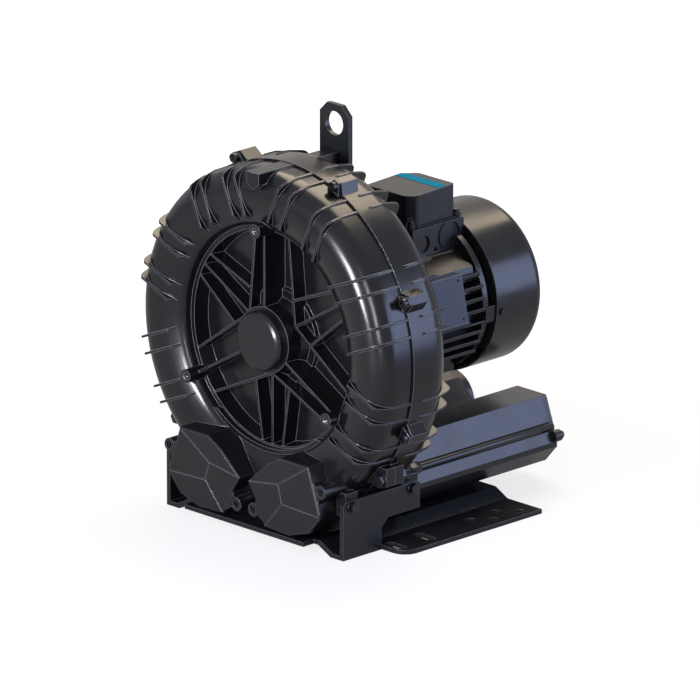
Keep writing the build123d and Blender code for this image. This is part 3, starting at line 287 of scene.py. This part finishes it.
def perforated_steel():
    """Zinc-plated sheet with a straight grid of dark dots for its holes."""
    m = empty_material("perforated zinc-plated steel")
    where = add(m, "TexCoord").outputs["Object"]
    holes = add(m, "TexVoronoi", {"Vector": where, "Scale": per_mm(HOLE_STEP_MM), "Randomness": 0.0})
    hole = add(m, "Math", {0: holes.outputs["Distance"], 1: HOLE_SHARE}, operation="LESS_THAN")
    shade = add(m, "Mix", {"Factor": hole.outputs["Value"], "A": linear("#a8aaae"), "B": linear("#08080a")},
                data_type="RGBA")
    shine = add(m, "Mix", {"Factor": hole.outputs["Value"], "A": 0.3, "B": 0.9}, data_type="FLOAT")
    skin = add(m, "BsdfPrincipled", {"Base Color": shade.outputs["Result"], "Metallic": 1.0,
                                     "Roughness": shine.outputs["Result"]})
    add(m, "OutputMaterial", {"Surface": skin.outputs["BSDF"]})
    return m


foam = open_foam()
tube_steel = perforated_steel()

# %% [markdown]
# ## Dressing the CAD nodes
# Each node keeps its shape and gets the finish of its real piece. The table below is read by node name,
# and any node that is missing from it is printed, so none stays undressed.

# %% Which finish goes on which node
FINISHES = {
    cast_black: ["front_cover", "rear_housing", "drive_end_shield"],
    motor_black: ["motor_frame", "rear_end_shield"],
    sheet_black: ["base_frame", "lifting_eye"],
    cowl_black: ["fan_cowl"],
    cap_black: ["front_cap_left", "front_cap_right", "silencer_end_cap_left", "silencer_end_cap_right"],
    silencer_black: ["silencer_left", "silencer_right", "tie_rods"],
    hub_plastic: ["hub_cap"],
    box_plastic: ["terminal_box_base", "terminal_box_cover"],
    plug_plastic: ["knock_out_plugs"],
    fan_plastic: ["cooling_fan"],
    block_plastic: ["terminal_block"],
    seal_rubber: ["cap_gaskets", "silencer_gaskets", "terminal_box_gasket", "shaft_seals"],
    bolt_steel: ["cover_bolts", "cap_screws", "base_screws", "eye_screws", "cowl_screws", "drive_end_screws",
                 "terminal_box_screws"],
    plate_metal: ["rating_plate"],
    ground_steel: ["motor_shaft", "impeller_key"],
    spring_steel: ["retaining_rings", "preload_spring"],
    sheet_stack: ["stator_core", "rotor_core"],
    bearing_steel: ["front_bearing_outer_ring", "front_bearing_inner_ring", "rear_bearing_outer_ring",
                    "rear_bearing_inner_ring"],
    cage_brass: ["front_bearing_cage", "rear_bearing_cage"],
    cast_raw: ["impeller"],
    winding_copper: ["stator_windings"],
    foam: ["silencer_foam_left", "silencer_foam_right"],
    tube_steel: ["silencer_tube_left", "silencer_tube_right"],
}


def dress(names, material):
    for name in names:
        nodes[name].data.materials.clear()
        nodes[name].data.materials.append(material)


for material, names in FINISHES.items():
    dress(names, material)
dressed = {name for names in FINISHES.values() for name in names}
print("undressed nodes:", sorted(set(nodes) - dressed))


# %% [markdown]
# ## Pieces modelled by hand
# Some things are modelled here by hand: the moulded lid of the terminal box, the teal film on it, the tie
# rods of the silencers, wire thread inserts in the three bosses, flange washers and the screws of the rear
# caps. Each starts as a primitive at its real size and is shaped in edit mode. At the end its place is
# applied to its mesh and it rides on the fixed body.

# %% Helpers for hand modelling
def primitive(kind, name, **place):
    """Add a primitive with nothing else selected."""
    bpy.ops.object.select_all(action="DESELECT")
    getattr(bpy.ops.mesh, f"primitive_{kind}_add")(**place)
    piece = bpy.context.object
    piece.name = name
    return piece


def apply_place():
    """Move the selected piece's place, turn and size into its mesh."""
    bpy.ops.object.transform_apply(location=True, rotation=True, scale=True)


UP, DOWN = Vector((0, 0, 1)), Vector((0, 0, -1))


def select_facing(piece, *axes, least=0.9):
    """In edit mode, select the faces whose normal points along one of the axes."""
    bpy.ops.mesh.select_all(action="DESELECT")
    bpy.ops.object.mode_set(mode="OBJECT")
    for face in piece.data.polygons:
        face.select = any(face.normal.dot(axis) > least for axis in axes)
    bpy.ops.object.mode_set(mode="EDIT")


def select_only(*pieces):
    """Select these pieces and nothing else. The first one becomes the active piece."""
    bpy.ops.object.select_all(action="DESELECT")
    for piece in pieces:
        piece.select_set(True)
    bpy.context.view_layer.objects.active = pieces[0]


def settle(piece, material):
    """Apply the place to the mesh, give it its finish and let it ride on the fixed body."""
    select_only(piece)
    apply_place()
    piece.data.materials.append(material)
    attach(piece, "housing")
    print(piece.name, "size in mm:", [round(d * MM_PER_M, 1) for d in piece.dimensions])
    return piece


# %% [markdown]
# ## Lid of the terminal box
# The lid is a moulded hood with two opposite corners cut off for its screws. Moulded corners are round,
# and those rounds carry the brightest lines on it, so the plain CAD lid is replaced by one with real
# rounds. It starts as a cube. Three bisects cut two corners and the top, which rises 2.8 mm towards the
# back so that water runs off. Then the upright edges and the rim are bevelled, the underside is hollowed,
# and three screw ears are united with its foot. Weighted normals keep the flats flat between the small
# rounds.

# %% Lid with rounded corners
LID_LOW = 0.305
LID_HALF = 0.0345                  # half its width in X
LID_FRONT, LID_BACK = 0.1125, 0.1790
LID_SLOPE = 0.042                  # the top rises 2.8 mm over 66.5 mm
LID_TOP_FRONT = 0.3392
BLANK_HEIGHT = 0.044               # of the cube, before the top is cut
FRONT_RIGHT_CUT, BACK_LEFT_CUT = 0.0106, 0.0145
CORNER_ROUND, RIM_ROUND = 0.0028, 0.0011
LID_WALL, HOLLOW_DEPTH = 0.0028, 0.029
SCREW_EARS = [(0.0320, 0.1148), (0.0332, 0.1828), (-0.0303, 0.1748)]
EAR_R, EAR_HEIGHT = 0.0052, 0.004
SAME_PLACE = 1e-6


def select_upright_edges(piece):
    """In edit mode, select the edges that stand upright, by the place of their ends."""
    bpy.ops.mesh.select_mode(type="EDGE")
    bpy.ops.mesh.select_all(action="DESELECT")
    bpy.ops.object.mode_set(mode="OBJECT")
    corners = piece.data.vertices
    for edge in piece.data.edges:
        a, b = (corners[i].co for i in edge.vertices)
        edge.select = (a.xy - b.xy).length < SAME_PLACE
    bpy.ops.object.mode_set(mode="EDIT")


def join_ear(lid, place):
    """Unite a round screw ear with the foot of the lid."""
    ear = primitive("cylinder", "ear", vertices=40, radius=EAR_R, depth=EAR_HEIGHT,
                    location=(*place, LID_LOW + EAR_HEIGHT / 2))
    apply_place()
    union = lid.modifiers.new("ear", "BOOLEAN")
    union.operation = "UNION"
    union.solver = "EXACT"
    union.object = ear
    bpy.context.view_layer.objects.active = lid
    bpy.ops.object.modifier_apply(modifier="ear")
    bpy.data.objects.remove(ear)


def rounded_lid():
    """Moulded lid with round corners, a sloping top and three ears, in place of the plain CAD lid."""
    middle = (0, (LID_FRONT + LID_BACK) / 2, LID_LOW + BLANK_HEIGHT / 2)
    lid = primitive("cube", "terminal_box_lid", size=1, location=middle)
    lid.scale = (2 * LID_HALF, LID_BACK - LID_FRONT, BLANK_HEIGHT)
    apply_place()
    bpy.ops.object.mode_set(mode="EDIT")
    cuts = [((LID_HALF - FRONT_RIGHT_CUT, LID_FRONT, 0), (1, -1, 0)),
            ((-LID_HALF + BACK_LEFT_CUT, LID_BACK, 0), (-1, 1, 0)),
            ((0, LID_FRONT, LID_TOP_FRONT), (0, -LID_SLOPE, 1))]
    for place, outwards in cuts:
        bpy.ops.mesh.select_all(action="SELECT")
        bpy.ops.mesh.bisect(plane_co=place, plane_no=outwards, use_fill=True, clear_outer=True)
    select_upright_edges(lid)
    bpy.ops.mesh.bevel(offset=CORNER_ROUND, segments=5, affect="EDGES")
    bpy.ops.mesh.select_mode(type="FACE")
    select_facing(lid, UP)
    bpy.ops.mesh.bevel(offset=RIM_ROUND, segments=3, affect="EDGES")
    select_facing(lid, DOWN)
    bpy.ops.mesh.inset(thickness=LID_WALL)
    bpy.ops.mesh.extrude_region_move(TRANSFORM_OT_translate={"value": (0, 0, HOLLOW_DEPTH)})
    bpy.ops.object.mode_set(mode="OBJECT")
    for place in SCREW_EARS:
        join_ear(lid, place)
    select_only(lid)
    bpy.ops.object.shade_smooth_by_angle(angle=math.radians(35))
    keep_flat = lid.modifiers.new("keep_flat", "WEIGHTED_NORMAL")
    keep_flat.keep_sharp = True
    bpy.ops.object.modifier_apply(modifier="keep_flat")
    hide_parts("terminal_box_cover")
    return settle(lid, box_plastic)


rounded_lid()

# %% [markdown]
# ## Teal film on the lid
# A strip of cut vinyl film, 12 mm wide and 0.3 mm thick, runs across the lid and slopes with it. The lid's
# back left corner is cut off, and the film is cut with it: a bisect does what the knife does. A tiny bevel
# stands for the film's edge, which catches a thin line of light.

# %% Teal film
FILM_SIZE = (0.0664, 0.0124, 0.0003)
FILM_Y = 0.1615
FILM_CUT = (-0.0332, 0.1640, 0.0)
FILM_EDGE = 0.0001


def teal_film():
    """Strip of film on the sloping top, cut off at the lid's back left corner."""
    height = LID_TOP_FRONT + LID_SLOPE * (FILM_Y - LID_FRONT) + FILM_SIZE[2] / 2
    film = primitive("cube", "lid_teal_film", size=1, location=(0, FILM_Y, height))
    film.scale = FILM_SIZE
    film.rotation_euler = (math.atan(LID_SLOPE), 0, 0)
    apply_place()
    bpy.ops.object.mode_set(mode="EDIT")
    bpy.ops.mesh.select_all(action="SELECT")
    bpy.ops.mesh.bisect(plane_co=FILM_CUT, plane_no=(-1, 1, 0), use_fill=True, clear_outer=True)
    bpy.ops.mesh.select_all(action="SELECT")
    bpy.ops.mesh.bevel(offset=FILM_EDGE, segments=2, affect="EDGES")
    bpy.ops.object.mode_set(mode="OBJECT")
    return settle(film, label_vinyl)


teal_film()

# %% [markdown]
# ## Tie rods
# A rod holds each silencer between the port block and the rear cap. It lies in a groove of the silencer
# body and has the same coat. It ends inside the rear cap, where the CAD's rod still shows a nut, so a new
# rod takes its place: a cylinder whose ends are bevelled, with a hexagon coupling on its front end.

# %% Tie rods
ROD_X, ROD_Z = 0.112, 0.0685
ROD_R, COUPLING_R = 0.0045, 0.0072
ROD_ENDS = (0.030, 0.2512)         # in Y
COUPLING_ENDS = (0.032, 0.047)
END_BEVEL = 0.0008


def rod_piece(name, sides, radius, ends, x):
    """Cylinder or prism along Y, bevelled at both ends."""
    y0, y1 = ends
    bar = primitive("cylinder", name, vertices=sides, radius=radius, depth=y1 - y0,
                    location=(x, (y0 + y1) / 2, ROD_Z), rotation=(math.radians(90), 0, 0))
    bpy.ops.object.mode_set(mode="EDIT")
    bpy.ops.mesh.select_mode(type="FACE")
    for end in (UP, DOWN):
        select_facing(bar, end)
        bpy.ops.mesh.bevel(offset=END_BEVEL, segments=2, affect="EDGES")
    bpy.ops.object.mode_set(mode="OBJECT")
    apply_place()
    return bar


def tie_rods():
    """Both rods with their couplings, joined as one piece in place of the CAD's."""
    bars = []
    for x in (ROD_X, -ROD_X):
        bars.append(rod_piece("rod", 40, ROD_R, ROD_ENDS, x))
        bars.append(rod_piece("coupling", 6, COUPLING_R, COUPLING_ENDS, x))
    select_only(*bars)
    bpy.ops.object.join()
    rods = bpy.context.object
    rods.name = "silencer_tie_rods"
    bpy.ops.object.shade_smooth_by_angle(angle=math.radians(30))
    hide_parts("tie_rods")
    return settle(rods, silencer_black)


tie_rods()

# %% [markdown]
# ## Thread inserts
# The three bosses of the cover have M10 threads. Cast aluminium wears quickly there, so the threads are
# lined with a coil of bright steel wire. A diamond section is screwed up along the hole by the Screw
# modifier, 1.5 mm per turn, which is the pitch of M10, and its two ends are closed.

# %% Wire thread inserts
SHAFT_Z = 0.213
BOSS_CIRCLE = 0.124
BOSS_FRONT = -0.0868
PITCH = 0.0015
COIL_R, WIRE_R = 0.0039, 0.00048
TURNS, STEPS = 9, 20
MERGE = 0.00001


def thread_insert(name, angle):
    """Coil of wire in the boss that stands at angle, in degrees, round the shaft."""
    coil = primitive("circle", name, vertices=4, radius=WIRE_R, location=(COIL_R, 0, 0))
    apply_place()
    screw = coil.modifiers.new("coil", "SCREW")
    screw.axis = "Y"
    screw.screw_offset = PITCH
    screw.iterations = TURNS
    screw.steps = screw.render_steps = STEPS
    bpy.ops.object.modifier_apply(modifier="coil")
    bpy.ops.object.mode_set(mode="EDIT")
    bpy.ops.mesh.select_all(action="SELECT")
    bpy.ops.mesh.remove_doubles(threshold=MERGE)
    bpy.ops.mesh.fill_holes(sides=4)
    bpy.ops.mesh.select_all(action="SELECT")
    bpy.ops.mesh.normals_make_consistent(inside=False)
    bpy.ops.object.mode_set(mode="OBJECT")
    turn = math.radians(angle)
    coil.location = (BOSS_CIRCLE * math.cos(turn), BOSS_FRONT, SHAFT_Z + BOSS_CIRCLE * math.sin(turn))
    return settle(coil, ground_steel)


for number, angle in enumerate((90, 210, 330), 1):
    thread_insert(f"thread_insert_{number}", angle)

# %% [markdown]
# ## Washers
# A washer is a stamped ring. It is made from a cylinder: both end faces are inset, the two inner faces are
# bridged, which opens the hole, and the rims get the small rounding that the stamping tool leaves.

# %% Flange washers
ALONG_X, ALONG_Y = (0, math.radians(90), 0), (math.radians(90), 0, 0)
PARTING_WASHER = (0.0088, 0.0055, 0.0014)          # outer radius, hole radius, thickness
BASE_WASHER = (0.0082, 0.0040, 0.0010)
RIM_SHARE = 0.25                                   # rounding of the rims, as a share of the thickness
SHOULDER_X, SHOULDER_Y, SHOULDER_Z = 0.155, -0.0516, 0.0865
BASE_WALL_X, BASE_SCREW_Z = 0.1359, 0.0575
BASE_SCREW_Y = {"front": -0.074, "rear": 0.016}


def washer(name, form, place, turn):
    """Ring of the given form, with its axis turned from Z to where it points."""
    radius, hole, thickness = form
    ring = primitive("cylinder", name, vertices=48, radius=radius, depth=thickness, location=place,
                     rotation=turn)
    bpy.ops.object.mode_set(mode="EDIT")
    select_facing(ring, UP, DOWN)
    bpy.ops.mesh.inset(thickness=radius - hole)
    bpy.ops.mesh.bridge_edge_loops()
    bpy.ops.object.mode_set(mode="OBJECT")
    rim = ring.modifiers.new("rim", "BEVEL")
    rim.width = thickness * RIM_SHARE
    rim.segments = 2
    rim.limit_method = "ANGLE"
    bpy.ops.object.modifier_apply(modifier="rim")
    return settle(ring, bolt_steel)


SIDES = {"right": 1, "left": -1}
for word, side in SIDES.items():
    place = (side * SHOULDER_X, SHOULDER_Y, SHOULDER_Z)
    washer(f"parting_bolt_washer_{word}", PARTING_WASHER, place, ALONG_Y)
    for end, y in BASE_SCREW_Y.items():
        place = (side * BASE_WALL_X, y, BASE_SCREW_Z)
        washer(f"base_screw_washer_{end}_{word}", BASE_WASHER, place, ALONG_X)

# %% [markdown]
# ## Rear cap screws
# The rear cap of each silencer has a small ear with a socket-head screw in it. The head is a cylinder
# whose end face is inset and pushed in for the key, and its rim is bevelled.

# %% Socket-head screws
HEAD_R, HEAD_HEIGHT = 0.0042, 0.0045
HEAD_ROUND, SOCKET_WALL, SOCKET_DEPTH = 0.12, 0.34, 0.5    # shares of the radius, radius and height
CAP_EAR_X, CAP_EAR_Y, CAP_EAR_Z = 0.1145, 0.2622, 0.057


def socket_screw(name, radius, height, place):
    """Screw head with its axis along Y and its socket towards the back."""
    head = primitive("cylinder", name, vertices=36, radius=radius, depth=height, location=place,
                     rotation=(math.radians(-90), 0, 0))
    bpy.ops.object.mode_set(mode="EDIT")
    select_facing(head, UP)
    bpy.ops.mesh.bevel(offset=radius * HEAD_ROUND, segments=2, affect="EDGES")
    select_facing(head, UP, least=0.99)
    bpy.ops.mesh.inset(thickness=radius * SOCKET_WALL)
    bpy.ops.mesh.extrude_region_move(TRANSFORM_OT_translate={"value": (0, 0, -height * SOCKET_DEPTH),
                                                             "orient_type": "LOCAL"})
    bpy.ops.object.mode_set(mode="OBJECT")
    return settle(head, bolt_steel)


for word, side in SIDES.items():
    place = (side * CAP_EAR_X, CAP_EAR_Y, CAP_EAR_Z)
    socket_screw(f"rear_cap_screw_{word}", HEAD_R, HEAD_HEIGHT, place)

# %% [markdown]
# ## Floor, light and background
# A wide pale floor holds the soft shadow. It glows for the camera, and a little in reflections, which
# makes the background white without adding light to the machine. Five soft lamps do the rest: a warm one
# above and a very weak one behind on the left, a cool one behind on the right, and two neutral strips in
# front that draw the long bright lines on the ring. The other dark faces are left to the surroundings.

# %% Floor
NEAR, FAR = 0.45, 1.2              # from here to there, in metres, the floor turns to pure white
NEAR_GLOW, FAR_GLOW, MIRRORED_GLOW = 0.77, 1.0, 0.24
WHITE = (1, 1, 1, 1)
FLOOR_WIDTH = 14


def white_floor():
    """Pale paint that takes the shadow, and a glow that only the camera and reflections see."""
    m = empty_material("pale studio floor")
    path = add(m, "LightPath").outputs
    mirrored = add(m, "Math", {0: path["Is Glossy Ray"], 1: MIRRORED_GLOW}, operation="MULTIPLY")
    where = add(m, "TexCoord").outputs["Object"]
    away = add(m, "VectorMath", {0: where}, operation="LENGTH").outputs["Value"]
    paper = add(m, "MapRange", {"Value": away, "From Min": NEAR, "From Max": FAR,
                                "To Min": NEAR_GLOW, "To Max": FAR_GLOW})
    glow = add(m, "Math", {0: path["Is Camera Ray"], 1: paper.outputs["Result"],
                           2: mirrored.outputs["Value"]}, operation="MULTIPLY_ADD")
    paint = add(m, "BsdfDiffuse", {"Color": linear("#838489")})
    light = add(m, "Emission", {"Color": WHITE, "Strength": glow.outputs["Value"]})
    both = add(m, "AddShader", {0: paint.outputs["BSDF"], 1: light.outputs["Emission"]})
    add(m, "OutputMaterial", {"Surface": both.outputs["Shader"]})
    return m


def lay_floor():
    floor = primitive("plane", "floor", size=FLOOR_WIDTH, location=(0, 2, 0))
    apply_place()
    floor.data.materials.append(white_floor())


lay_floor()


# %% World
ROOM_LIGHT = 0.5                   # reflections see the room twice as bright


def studio_world():
    """White where the camera looks, a plain grey room for everything else."""
    world = bpy.data.worlds.new("studio")
    bpy.context.scene.world = world
    world.use_nodes = True
    world.node_tree.nodes.clear()
    path = add(world, "LightPath").outputs
    shine = add(world, "Math", {0: path["Is Glossy Ray"], 1: ROOM_LIGHT, 2: ROOM_LIGHT},
                operation="MULTIPLY_ADD")
    room = add(world, "Background", {"Color": linear("#b4b8c0"), "Strength": shine.outputs["Value"]})
    white = add(world, "Background", {"Color": WHITE, "Strength": 1.0})
    both = add(world, "MixShader", {0: path["Is Camera Ray"], 1: room.outputs["Background"],
                                    2: white.outputs["Background"]})
    add(world, "OutputWorld", {"Surface": both.outputs["Shader"]})


studio_world()


# %% Soft lamps
MIDDLE = Vector((0, 0.05, 0.22))


def soft_lamp(name, place, size, power, colour):
    """A rectangular lamp at place, size in metres, turned towards the middle of the machine."""
    bpy.ops.object.light_add(type="AREA", location=place)
    lamp = bpy.context.object
    lamp.name = name
    lamp.rotation_euler = (MIDDLE - Vector(place)).to_track_quat("-Z", "Y").to_euler()
    lamp.data.shape = "RECTANGLE"
    lamp.data.size, lamp.data.size_y = size
    lamp.data.energy = power
    lamp.data.color = linear(colour)[:3]


soft_lamp("left rear lamp", (-1.6, 1.7, 0.95), (2.6, 1.2), 3, "#ffe6c8")
soft_lamp("top lamp", (-0.5, 0.9, 1.9), (1.6, 1.2), 34, "#ffecd0")
soft_lamp("right rear lamp", (1.7, 1.25, 0.55), (1.5, 1.1), 20, "#bccdff")
soft_lamp("front strip", (0.25, -2.2, 0.75), (0.4, 0.9), 66, "#f6f7ff")
soft_lamp("edge strip", (1.5, -1.5, 0.8), (0.2, 1.3), 12, "#ffffff")
bpy.context.scene.view_settings.view_transform = "Standard"
